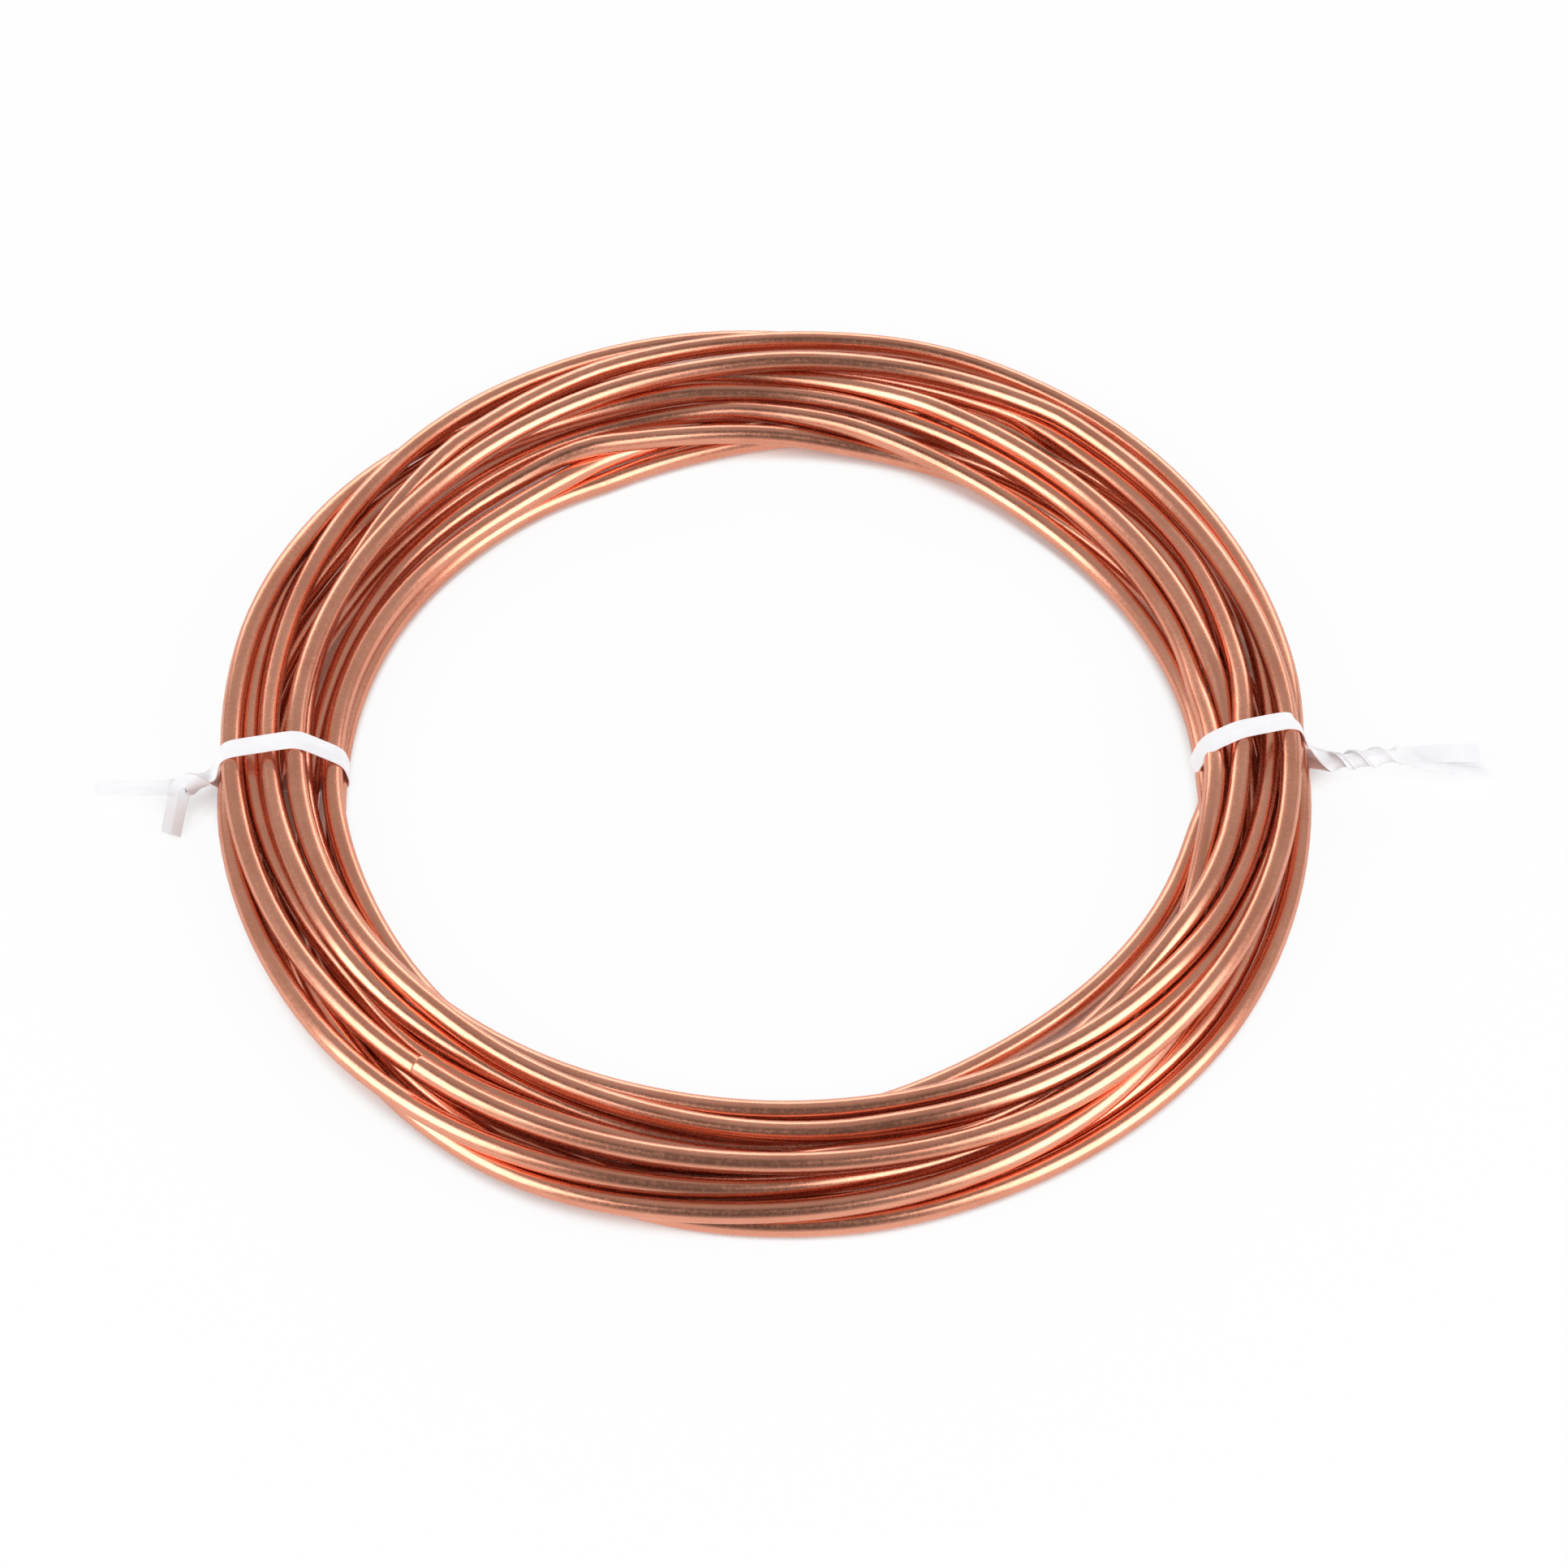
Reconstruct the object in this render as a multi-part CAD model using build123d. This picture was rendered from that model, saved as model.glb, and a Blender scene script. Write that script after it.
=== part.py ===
from build123d import *
import math
import os
import numpy as np

# A coil of soft copper tube, tied with two white twist ties.
# Millimetres, +Z up. The origin is on the floor at the coil's axis, the ties lie near the X axis.

# Tube
TUBE_OD = 4.76
TUBE_WALL = 0.76
TURN_GAP = 0.18
# Winding
EYE_RADIUS = 89.5
STATION_STEP = 10
# Twist ties
TIE_WIDTH = 4.8
TIE_THICK = 0.6
TIE_SLACK = 0.5
TWIST_SIZE = 1.5
# Where each tie's upright plane starts at the eye, and the angle it heads out at
TIE_FOOT = {"left": (-94.0, -2.5), "right": (94.0, -0.5)}
TIE_HEADING = {"left": 184.0, "right": 4.0}
TWIST_LEVEL = {"left": 5.5, "right": 5.0}
TWIST_LENGTH = {"left": 7.0, "right": 16.0}
TWIST_TURN = {"left": 180.0, "right": 540.0}
# Each tail's length and the angle it heads out at
TAILS = {"left": ((21.5, 184.0), (12.5, 265.0)), "right": ((21.0, 4.5), (26.0, -4.0))}

# The strands' lanes. Each row is one turn, from the free end on top down to the end underneath, read
# every 30 degrees from 240 on. A reading of READ_EYE is the eye's edge and READ_TUBE is one tube wide.
# A minus sign marks a stretch buried under other turns, which only leans towards its lane.
READ_EYE = 78.0
READ_TUBE = 4.15
LANES = (
    (94.5, 92.0, 95.8, 98.0, 100.8, 102.4, 105.1, 102.2, 98.6, 95.1, 91.8, 87.8),
    (84.8, 86.0, 90.0, 95.4, -101.5, 106.7, 110.9, 109.0, 104.1, 96.0, -91.0, -87.0),
    (83.1, 81.8, 85.4, 91.7, -97.3, -103.0, -108.0, 110.6, 109.6, 104.1, 97.2, 92.5),
    (88.8, -88.0, -87.0, 88.2, 90.6, 97.7, 100.3, -105.5, -107.5, 107.9, 104.3, 99.3),
    (95.9, -93.0, -91.0, -88.0, 86.0, 86.8, 89.2, 94.0, -97.0, -101.0, -104.0, 104.6),
    (102.2, 97.5, -94.0, -91.0, -89.0, -90.0, 94.0, -99.5, -104.0, 105.5, 100.7, 95.0),
    (-92.0, -91.0, -90.5, -88.5, -85.5, 81.6, 81.8, 88.6, 92.4, -94.0, -97.0, -101.0),
    (105.0, 102.8, 101.3, -97.5, -93.0, -88.5, -86.5, 83.2, 86.6, 89.2, -92.5, -97.0),
    (-101.0, 105.3, 106.6, 105.8, 103.2, -102.0, -101.0, -92.0, 81.8, 84.0, 84.8, -84.5),
    (-82.5, -82.0, 81.4, 83.2, 87.0, 94.2, -96.5, -101.5, -103.5, -102.5, -101.0, -100.0),
    (-99.5, -100.0, -100.5, -99.5, -96.0, -91.5, -90.0, -84.8, 79.7, 82.0, 83.9, -88.0),
    (-91.0, -95.0),
)
FIRST_READING = 240
FREE_END = 230
END_RUN = 5
# A strand above VIEW_LEVEL tube widths looks this much further back in the readings, per unit of height
VIEW_LEVEL = 1.93
VIEW_SLOPE = 0.745

# Settling of the winding, in tube diameters
SAMPLE_STEP = 5
SETTLE_ROUNDS = 1000
CLEAR_ROUNDS = 500
HOLD_SEEN = 0.1
HOLD_BURIED = 0.012
HOLD_WHILE_CLEARING = 0.3
FREE_ROUNDS = 60
SEEN_LIFT = 0.6
DROP = 0.01
BEND = 0.35
PUSH = 0.6
ORDER_SPAN = 9
FLOOR_GAP = 0.02

TUBE_R = TUBE_OD / 2
BORE_R = TUBE_R - TUBE_WALL
PER_TURN = 360 // SAMPLE_STEP


def read_lanes():
    """The angles of the samples along the tube, the lane each leans to, and which are buried."""
    rows = np.concatenate(LANES)
    read_at = FIRST_READING + 30.0 * np.arange(len(rows))
    angles = np.arange(FREE_END, read_at[-1] + END_RUN + 0.1, SAMPLE_STEP)
    lanes = (np.abs(rows) - READ_EYE) / READ_TUBE + EYE_RADIUS / TUBE_OD
    return angles, smooth_through(angles, read_at, lanes), np.interp(angles, read_at, 1.0 * (rows < 0))


def smooth_through(at, knots, values):
    """A smooth curve through evenly spaced values, run on straight past its ends."""
    slope = np.gradient(values, knots)
    cell = np.clip(np.searchsorted(knots, at, side="right") - 1, 0, len(knots) - 2)
    width = knots[cell + 1] - knots[cell]
    share = (at - knots[cell]) / width
    inside = np.clip(share, 0, 1)
    left = values[cell] + slope[cell] * width * inside
    right = values[cell + 1] - slope[cell + 1] * width * (1 - inside)
    blend = inside ** 2 * (3 - 2 * inside)
    past = np.where(share < 0, slope[cell], slope[cell + 1]) * width * (share - inside)
    return left * (1 - blend) + right * blend + past


def floor_levels(angles):
    """The lowest height for the tube's centre, in tube diameters: it rises over the two ties."""
    lift = (TIE_THICK + 2 * TIE_SLACK) / TUBE_OD
    off = np.abs((angles + 90) % 180 - 90)
    return 0.5 + FLOOR_GAP + lift * np.cos(np.radians(90 * np.clip((off - 6) / 24, 0, 1))) ** 2


def push_apart(radii, heights, upper, lower, pitch):
    """Move strands that lie closer than the pitch apart, in the order that most of their run lies in."""
    across = radii[upper] - radii[lower]
    above = heights[upper] - heights[lower]
    order = np.where(np.convolve(above, np.ones(ORDER_SPAN), "same") < 0, -1, 1)
    above = order * np.maximum(order * above, 0.07)
    apart = np.hypot(across, above)
    push = PUSH * np.maximum(pitch - apart, 0) / apart
    count = len(radii)
    for values, step in ((radii, push * across), (heights, push * above)):
        values += np.bincount(upper, step, count) - np.bincount(lower, step, count)


def wind():
    """Let the turns sink onto each other, each held to its lane: angles, radii and heights."""
    angles, lanes, buried = read_lanes()
    count = len(angles)
    pairs = [(top, top + turn) for turn in range(PER_TURN, count, PER_TURN) for top in range(count - turn)]
    upper, lower = np.array(pairs).T
    hold = HOLD_SEEN * (1 - buried) + HOLD_BURIED * buried
    slant = (1 - buried) * VIEW_SLOPE * np.sin(np.radians(angles))
    floor = floor_levels(angles)
    pitch = (TUBE_OD + TURN_GAP) / TUBE_OD
    heights = 0.5 + (count - np.arange(count)) / PER_TURN * 0.28 + SEEN_LIFT * (1 - buried)
    radii = lanes - (heights - VIEW_LEVEL) * slant
    rounds = SETTLE_ROUNDS + CLEAR_ROUNDS
    for step in range(rounds):
        settling = step < SETTLE_ROUNDS
        grip = 1 if settling else HOLD_WHILE_CLEARING if step < rounds - FREE_ROUNDS else 0
        radii += grip * hold * (lanes - (heights - VIEW_LEVEL) * slant - radii)
        heights -= DROP if settling else 0
        for values in (radii, heights):
            values[1:-1] += BEND * ((values[:-2] + values[2:]) / 2 - values[1:-1]) * (1 if settling else 0.1)
        for again in range(2):
            push_apart(radii, heights, upper, lower, pitch * (1 if settling else 1.01))
            heights = np.maximum(heights, floor)
    return angles, radii * TUBE_OD, heights * TUBE_OD


def tube_path(angles, radii, heights):
    """The tube's centre line: pairs of arcs through the stations, without corners."""
    every = STATION_STEP // SAMPLE_STEP
    turn = np.radians(angles)
    points = np.stack([radii * np.cos(turn), radii * np.sin(turn), heights], 1)
    ways = np.gradient(points, axis=0)
    arcs = []
    picks = range(0, len(points) - every, every)
    for pick in picks:
        near, far = Vector(*points[pick]), Vector(*points[pick + every])
        leave, arrive = Vector(*ways[pick]).normalized(), Vector(*ways[pick + every]).normalized()
        middle = arc_joint(near, leave, far, arrive)
        first = Edge.make_tangent_arc(near, leave, middle)
        arcs += [first, Edge.make_tangent_arc(middle, first % 1, far)]
    return Wire(arcs)


def arc_joint(near, leave, far, arrive):
    """The point where an arc leaving one station runs into an arc arriving at the next."""
    gap = far - near
    turn = 2 * (1 - leave.dot(arrive))
    along = gap.dot(leave + arrive)
    if turn < 1e-9:
        reach = gap.dot(gap) / (2 * along)
    else:
        reach = (math.sqrt(along * along + turn * gap.dot(gap)) - along) / turn
    return ((near + leave * reach) + (far - arrive * reach)) * 0.5


def copper_tube(path):
    """The hollow tube along its path: its outer wall, its bore and the two cut ends."""
    start, end = (Plane(origin=path @ at, z_dir=path % at) for at in (0, 1))
    walls = [Solid.sweep((start * Circle(radius)).face(), path) for radius in (TUBE_R, BORE_R)]
    skin = [face for wall in walls for face in wall.faces() if face.geom_type != GeomType.PLANE]
    rims = [(plane * (Circle(TUBE_R) - Circle(BORE_R))).face() for plane in (start, end)]
    return Solid(Shell(skin + rims))


def strands_at(winding, side):
    """Where the strands pass through a tie's plane, as (distance outwards from its foot, height)."""
    angles, radii, heights = winding
    turn = np.radians(angles)
    out, left = math.cos(math.radians(TIE_HEADING[side])), math.sin(math.radians(TIE_HEADING[side]))
    across = radii * np.cos(turn) - TIE_FOOT[side][0]
    along = radii * np.sin(turn) - TIE_FOOT[side][1]
    ahead, off = across * out + along * left, along * out - across * left
    meets = np.nonzero((off[:-1] * off[1:] <= 0) & (ahead[:-1] > -10))[0]
    found = []
    for here in meets:
        share = off[here] / (off[here] - off[here + 1])
        found.append([float(v[here] * (1 - share) + v[here + 1] * share) for v in (ahead, heights)])
    return found


def twist_tie(winding, side):
    """A flat ribbon round all the strands, twisted shut outside them, with its two tails."""
    strands = strands_at(winding, side)
    way = Vector(1, 0, 0).rotate(Axis.Z, TIE_HEADING[side])
    level = Vector(-way.Y, way.X, 0)
    foot = Vector(*TIE_FOOT[side], 0)
    core = 0.9 * TUBE_R
    hull = make_hull([edge for x, z in strands for edge in (Pos(x, z) * Circle(core)).edges()])
    inner = offset(hull, TUBE_R + TIE_SLACK - core)
    outer = offset(inner, TIE_THICK)
    tie = extrude(Plane(origin=foot, x_dir=way, z_dir=-level) * (outer - inner), TIE_WIDTH / 2, both=True)
    reach = max(x for x, z in strands) + TUBE_R + TIE_SLACK
    root = foot + way * reach + Vector(0, 0, TWIST_LEVEL[side])
    bar = Plane(origin=root, x_dir=level, z_dir=way) * Rectangle(TIE_WIDTH, TWIST_SIZE)
    tie = tie + Solid.extrude_linear_with_rotation(
        bar.face(), root, way * TWIST_LENGTH[side], TWIST_TURN[side])
    knot = root + way * (TWIST_LENGTH[side] - TWIST_SIZE)
    for rise, (length, turn) in zip((TIE_THICK / 2, -TIE_THICK / 2), TAILS[side]):
        tail = Box(length, TIE_WIDTH, TIE_THICK, align=(Align.MIN, Align.CENTER, Align.CENTER))
        tie = tie + Pos(knot.X, knot.Y, knot.Z + rise) * Rot(0, 0, turn) * tail
    return tie


def main():
    """Wind the coil, tie it and write one file for each piece."""
    winding = wind()
    os.makedirs("parts", exist_ok=True)
    export_step(copper_tube(tube_path(*winding)), "parts/copper_tube.step")
    export_step(twist_tie(winding, "left"), "parts/twist_tie_left.step")
    export_step(twist_tie(winding, "right"), "parts/twist_tie_right.step")


main()
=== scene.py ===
"""A coil of soft copper tube, wound in loose turns and held by two white twist ties."""
import logging
import math
from dataclasses import dataclass, field
from enum import Enum

import bpy
import numpy as np
from mathutils import Matrix, Vector

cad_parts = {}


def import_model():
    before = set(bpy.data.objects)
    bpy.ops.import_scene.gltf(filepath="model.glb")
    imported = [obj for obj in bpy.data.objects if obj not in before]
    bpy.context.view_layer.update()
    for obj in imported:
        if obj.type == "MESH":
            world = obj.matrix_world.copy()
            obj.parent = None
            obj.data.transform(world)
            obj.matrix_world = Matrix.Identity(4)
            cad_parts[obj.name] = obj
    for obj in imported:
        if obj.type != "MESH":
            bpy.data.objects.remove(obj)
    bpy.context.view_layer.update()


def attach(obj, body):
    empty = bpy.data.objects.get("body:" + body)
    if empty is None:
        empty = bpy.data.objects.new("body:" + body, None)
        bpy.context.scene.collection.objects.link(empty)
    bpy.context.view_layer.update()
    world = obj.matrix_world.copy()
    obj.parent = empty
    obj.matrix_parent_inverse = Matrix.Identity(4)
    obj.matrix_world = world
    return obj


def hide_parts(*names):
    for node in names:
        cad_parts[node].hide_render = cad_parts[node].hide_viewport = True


log = logging.getLogger("coil")


class Side(Enum):
    """The side of the coil that a tie sits on."""

    LEFT = "left"
    RIGHT = "right"


# Turns from the free end on top down to the end underneath, read every 30 degrees from 240 on.
# A minus sign marks a stretch buried under other turns, which only leans towards its lane.
LANES = (
    (94.5, 92.0, 95.8, 98.0, 100.8, 102.4, 105.1, 102.2, 98.6, 95.1, 91.8, 87.8),
    (84.8, 86.0, 90.0, 95.4, -101.5, 106.7, 110.9, 109.0, 104.1, 96.0, -91.0, -87.0),
    (83.1, 81.8, 85.4, 91.7, -97.3, -103.0, -108.0, 110.6, 109.6, 104.1, 97.2, 92.5),
    (88.8, -88.0, -87.0, 88.2, 90.6, 97.7, 100.3, -105.5, -107.5, 107.9, 104.3, 99.3),
    (95.9, -93.0, -91.0, -88.0, 86.0, 86.8, 89.2, 94.0, -97.0, -101.0, -104.0, 104.6),
    (102.2, 97.5, -94.0, -91.0, -89.0, -90.0, 94.0, -99.5, -104.0, 105.5, 100.7, 95.0),
    (-92.0, -91.0, -90.5, -88.5, -85.5, 81.6, 81.8, 88.6, 92.4, -94.0, -97.0, -101.0),
    (105.0, 102.8, 101.3, -97.5, -93.0, -88.5, -86.5, 83.2, 86.6, 89.2, -92.5, -97.0),
    (-101.0, 105.3, 106.6, 105.8, 103.2, -102.0, -101.0, -92.0, 81.8, 84.0, 84.8, -84.5),
    (-82.5, -82.0, 81.4, 83.2, 87.0, 94.2, -96.5, -101.5, -103.5, -102.5, -101.0, -100.0),
    (-99.5, -100.0, -100.5, -99.5, -96.0, -91.5, -90.0, -84.8, 79.7, 82.0, 83.9, -88.0),
    (-91.0, -95.0),
)


@dataclass
class Winding:
    """How the tube lies: its turns sink onto each other while each is held to its lane.

    The settling counts in tube diameters and is the same as in the CAD source. Angles are degrees
    along the tube, and other lengths are metres.
    """

    tube_od: float = 0.00476
    turn_gap: float = 0.00018
    eye_radius: float = 0.0895
    # How the lanes are read: the eye and the tube in the readings' own unit, then the angles
    read_eye: float = 78.0
    read_tube: float = 4.15
    first_reading: float = 240.0
    reading_step: float = 30.0
    free_end: float = 230.0
    end_run: float = 5.0
    # A strand above this level looks further back in the readings, by the slope per unit of height
    view_level: float = 1.93
    view_slope: float = 0.745
    # How the turns settle
    sample_step: float = 5.0
    settle_rounds: int = 1000
    clear_rounds: int = 500
    hold_seen: float = 0.1
    hold_buried: float = 0.012
    hold_while_clearing: float = 0.3
    free_rounds: int = 60
    seen_lift: float = 0.6
    drop: float = 0.01
    bend: float = 0.35
    push: float = 0.6
    order_span: int = 9
    start_rise: float = 0.28
    least_above: float = 0.07
    clear_bend: float = 0.1
    clear_pitch: float = 1.01
    # How the tube rises over the ties: flat within the first angle, then eased over the second
    floor_gap: float = 0.02
    tie_lift: float = 0.0016
    tie_flat: float = 6.0
    tie_ease: float = 24.0
    # One buried strand moves inward under the left tie, where no gap shows
    tuck: float = -0.0034
    tuck_at: float = 3060.0
    tuck_span: float = 24.0
    angles: np.ndarray = field(init=False)
    radii: np.ndarray = field(init=False)
    heights: np.ndarray = field(init=False)

    def __post_init__(self) -> None:
        """Settle the winding once."""
        self.angles, self.radii, self.heights = self.settle()

    def read_lanes(self) -> tuple[np.ndarray, np.ndarray, np.ndarray]:
        """Read the lanes at each sample along the tube.

        Returns:
            The samples' angles, the lanes in tube diameters, and how buried each sample is.
        """
        rows = np.concatenate(LANES)
        knots = self.first_reading + self.reading_step * np.arange(len(rows))
        at = np.arange(self.free_end, knots[-1] + self.end_run + 0.1, self.sample_step)
        lanes = (np.abs(rows) - self.read_eye) / self.read_tube + self.eye_radius / self.tube_od
        return at, self.smooth_through(at, knots, lanes), np.interp(at, knots, 1.0 * (rows < 0))

    @staticmethod
    def smooth_through(at: np.ndarray, knots: np.ndarray, values: np.ndarray) -> np.ndarray:
        """Draw a smooth curve through evenly spaced values, run on straight past its ends.

        Args:
            at: Where the curve is wanted.
            knots: Where the values are.
            values: The values.

        Returns:
            The curve's values.
        """
        slope = np.gradient(values, knots)
        cell = np.clip(np.searchsorted(knots, at, side="right") - 1, 0, len(knots) - 2)
        width = knots[cell + 1] - knots[cell]
        share = (at - knots[cell]) / width
        inside = np.clip(share, 0, 1)
        left = values[cell] + slope[cell] * width * inside
        right = values[cell + 1] - slope[cell + 1] * width * (1 - inside)
        blend = inside ** 2 * (3 - 2 * inside)
        past = np.where(share < 0, slope[cell], slope[cell + 1]) * width * (share - inside)
        return left * (1 - blend) + right * blend + past

    def floor_levels(self, at: np.ndarray) -> np.ndarray:
        """Give the lowest height of the tube's centre, which rises over the ties.

        Args:
            at: The samples' angles.

        Returns:
            The height at each sample, in tube diameters.
        """
        off = np.abs((at + 90) % 180 - 90)
        ease = np.cos(np.radians(90 * np.clip((off - self.tie_flat) / self.tie_ease, 0, 1))) ** 2
        return 0.5 + self.floor_gap + self.tie_lift / self.tube_od * ease

    def push_apart(self, radii: np.ndarray, heights: np.ndarray, upper: np.ndarray,
                   lower: np.ndarray, pitch: float) -> None:
        """Move strands that lie closer than the pitch apart, in the order of most of their run.

        Args:
            radii: Distances from the coil's axis, changed in place.
            heights: Heights above the floor, changed in place.
            upper: Samples of the earlier turn of each pair.
            lower: Samples of the later turn of each pair.
            pitch: The least distance between two strands.
        """
        across = radii[upper] - radii[lower]
        above = heights[upper] - heights[lower]
        order = np.where(np.convolve(above, np.ones(self.order_span), "same") < 0, -1, 1)
        above = order * np.maximum(order * above, self.least_above)
        apart = np.hypot(across, above)
        push = self.push * np.maximum(pitch - apart, 0) / apart
        count = len(radii)
        for values, step in ((radii, push * across), (heights, push * above)):
            values += np.bincount(upper, step, count) - np.bincount(lower, step, count)

    def settle(self) -> tuple[np.ndarray, np.ndarray, np.ndarray]:
        """Let the turns sink onto each other.

        Returns:
            The samples' angles in degrees, and their radii and heights in metres.
        """
        at, lanes, buried = self.read_lanes()
        count = len(at)
        per_turn = round(360 / self.sample_step)
        pairs = [(top, top + turn) for turn in range(per_turn, count, per_turn)
                 for top in range(count - turn)]
        upper, lower = np.array(pairs).T
        hold = self.hold_seen * (1 - buried) + self.hold_buried * buried
        slant = (1 - buried) * self.view_slope * np.sin(np.radians(at))
        floor = self.floor_levels(at)
        pitch = (self.tube_od + self.turn_gap) / self.tube_od
        heights = (0.5 + (count - np.arange(count)) / per_turn * self.start_rise
                   + self.seen_lift * (1 - buried))
        radii = lanes - (heights - self.view_level) * slant
        rounds = self.settle_rounds + self.clear_rounds
        for step in range(rounds):
            settling = step < self.settle_rounds
            clearing = self.hold_while_clearing if step < rounds - self.free_rounds else 0
            grip = 1 if settling else clearing
            radii += grip * hold * (lanes - (heights - self.view_level) * slant - radii)
            heights -= self.drop if settling else 0
            bend = self.bend * (1 if settling else self.clear_bend)
            for values in (radii, heights):
                values[1:-1] += bend * ((values[:-2] + values[2:]) / 2 - values[1:-1])
            apart = pitch * (1 if settling else self.clear_pitch)
            for _ in range(2):
                self.push_apart(radii, heights, upper, lower, apart)
                heights = np.maximum(heights, floor)
        tucked = self.tuck * np.exp(-((at - self.tuck_at) / self.tuck_span) ** 2)
        return at, radii * self.tube_od + tucked, heights * self.tube_od

    def centre_line(self) -> np.ndarray:
        """Give the samples along the tube as points."""
        turn = np.radians(self.angles)
        return np.stack([self.radii * np.cos(turn), self.radii * np.sin(turn), self.heights], 1)

    def strands_across(self, side: Side, start: Vector,
                       heading: Vector) -> list[tuple[float, float]]:
        """Find where the strands pass through a tie's upright plane.

        Args:
            side: The side of the coil.
            start: A point of the plane.
            heading: The plane's level direction, outwards.

        Returns:
            Each strand's distance along the heading from the start, and its height.
        """
        points = self.centre_line()
        normal = Vector((-heading.y, heading.x, 0))
        off = (points[:, 0] - start.x) * normal.x + (points[:, 1] - start.y) * normal.y
        sign = 1 if side is Side.RIGHT else -1
        found = []
        for here in range(len(points) - 1):
            crosses = off[here] * off[here + 1] <= 0 and off[here] != off[here + 1]
            if points[here, 0] * sign > 0 and crosses:
                share = off[here] / (off[here] - off[here + 1])
                spot = points[here] * (1 - share) + points[here + 1] * share
                along = (spot[0] - start.x) * heading.x + (spot[1] - start.y) * heading.y
                found.append((float(along), float(spot[2])))
        return found


@dataclass(frozen=True)
class Rgb:
    """A linear colour."""

    red: float
    green: float
    blue: float

    def rgba(self) -> tuple[float, float, float, float]:
        """Give the colour with full alpha."""
        return (self.red, self.green, self.blue, 1.0)


class ShaderKit:
    """Shared shader node groups, each built once."""

    def __init__(self) -> None:
        """Build the groups."""
        self.handled = self.build_handled()

    @staticmethod
    def build_handled() -> bpy.types.ShaderNodeTree:
        """Build the group that gives faint stains and fine scuffs from handling.

        Returns:
            A group with inputs Vector, Stain Scale and Scuff Scale and outputs Stain and Scuff.
        """
        tree = bpy.data.node_groups.new("handled_surface", "ShaderNodeTree")
        tree.interface.new_socket("Vector", in_out="INPUT", socket_type="NodeSocketVector")
        for name, value in (("Stain Scale", 40.0), ("Scuff Scale", 900.0)):
            socket = tree.interface.new_socket(name, in_out="INPUT", socket_type="NodeSocketFloat")
            socket.default_value = value
        for name in ("Stain", "Scuff"):
            tree.interface.new_socket(name, in_out="OUTPUT", socket_type="NodeSocketFloat")
        entry = tree.nodes.new("NodeGroupInput")
        leave = tree.nodes.new("NodeGroupOutput")
        for name, detail, low, high in (("Stain", 4.0, 0.38, 0.68), ("Scuff", 6.0, 0.45, 0.75)):
            noise = tree.nodes.new("ShaderNodeTexNoise")
            noise.inputs["Detail"].default_value = detail
            noise.inputs["Roughness"].default_value = 0.6
            span = tree.nodes.new("ShaderNodeMapRange")
            span.inputs["From Min"].default_value = low
            span.inputs["From Max"].default_value = high
            tree.links.new(entry.outputs["Vector"], noise.inputs["Vector"])
            tree.links.new(entry.outputs[f"{name} Scale"], noise.inputs["Scale"])
            tree.links.new(noise.outputs["Fac"], span.inputs["Value"])
            tree.links.new(span.outputs["Result"], leave.inputs[name])
        return tree


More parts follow.
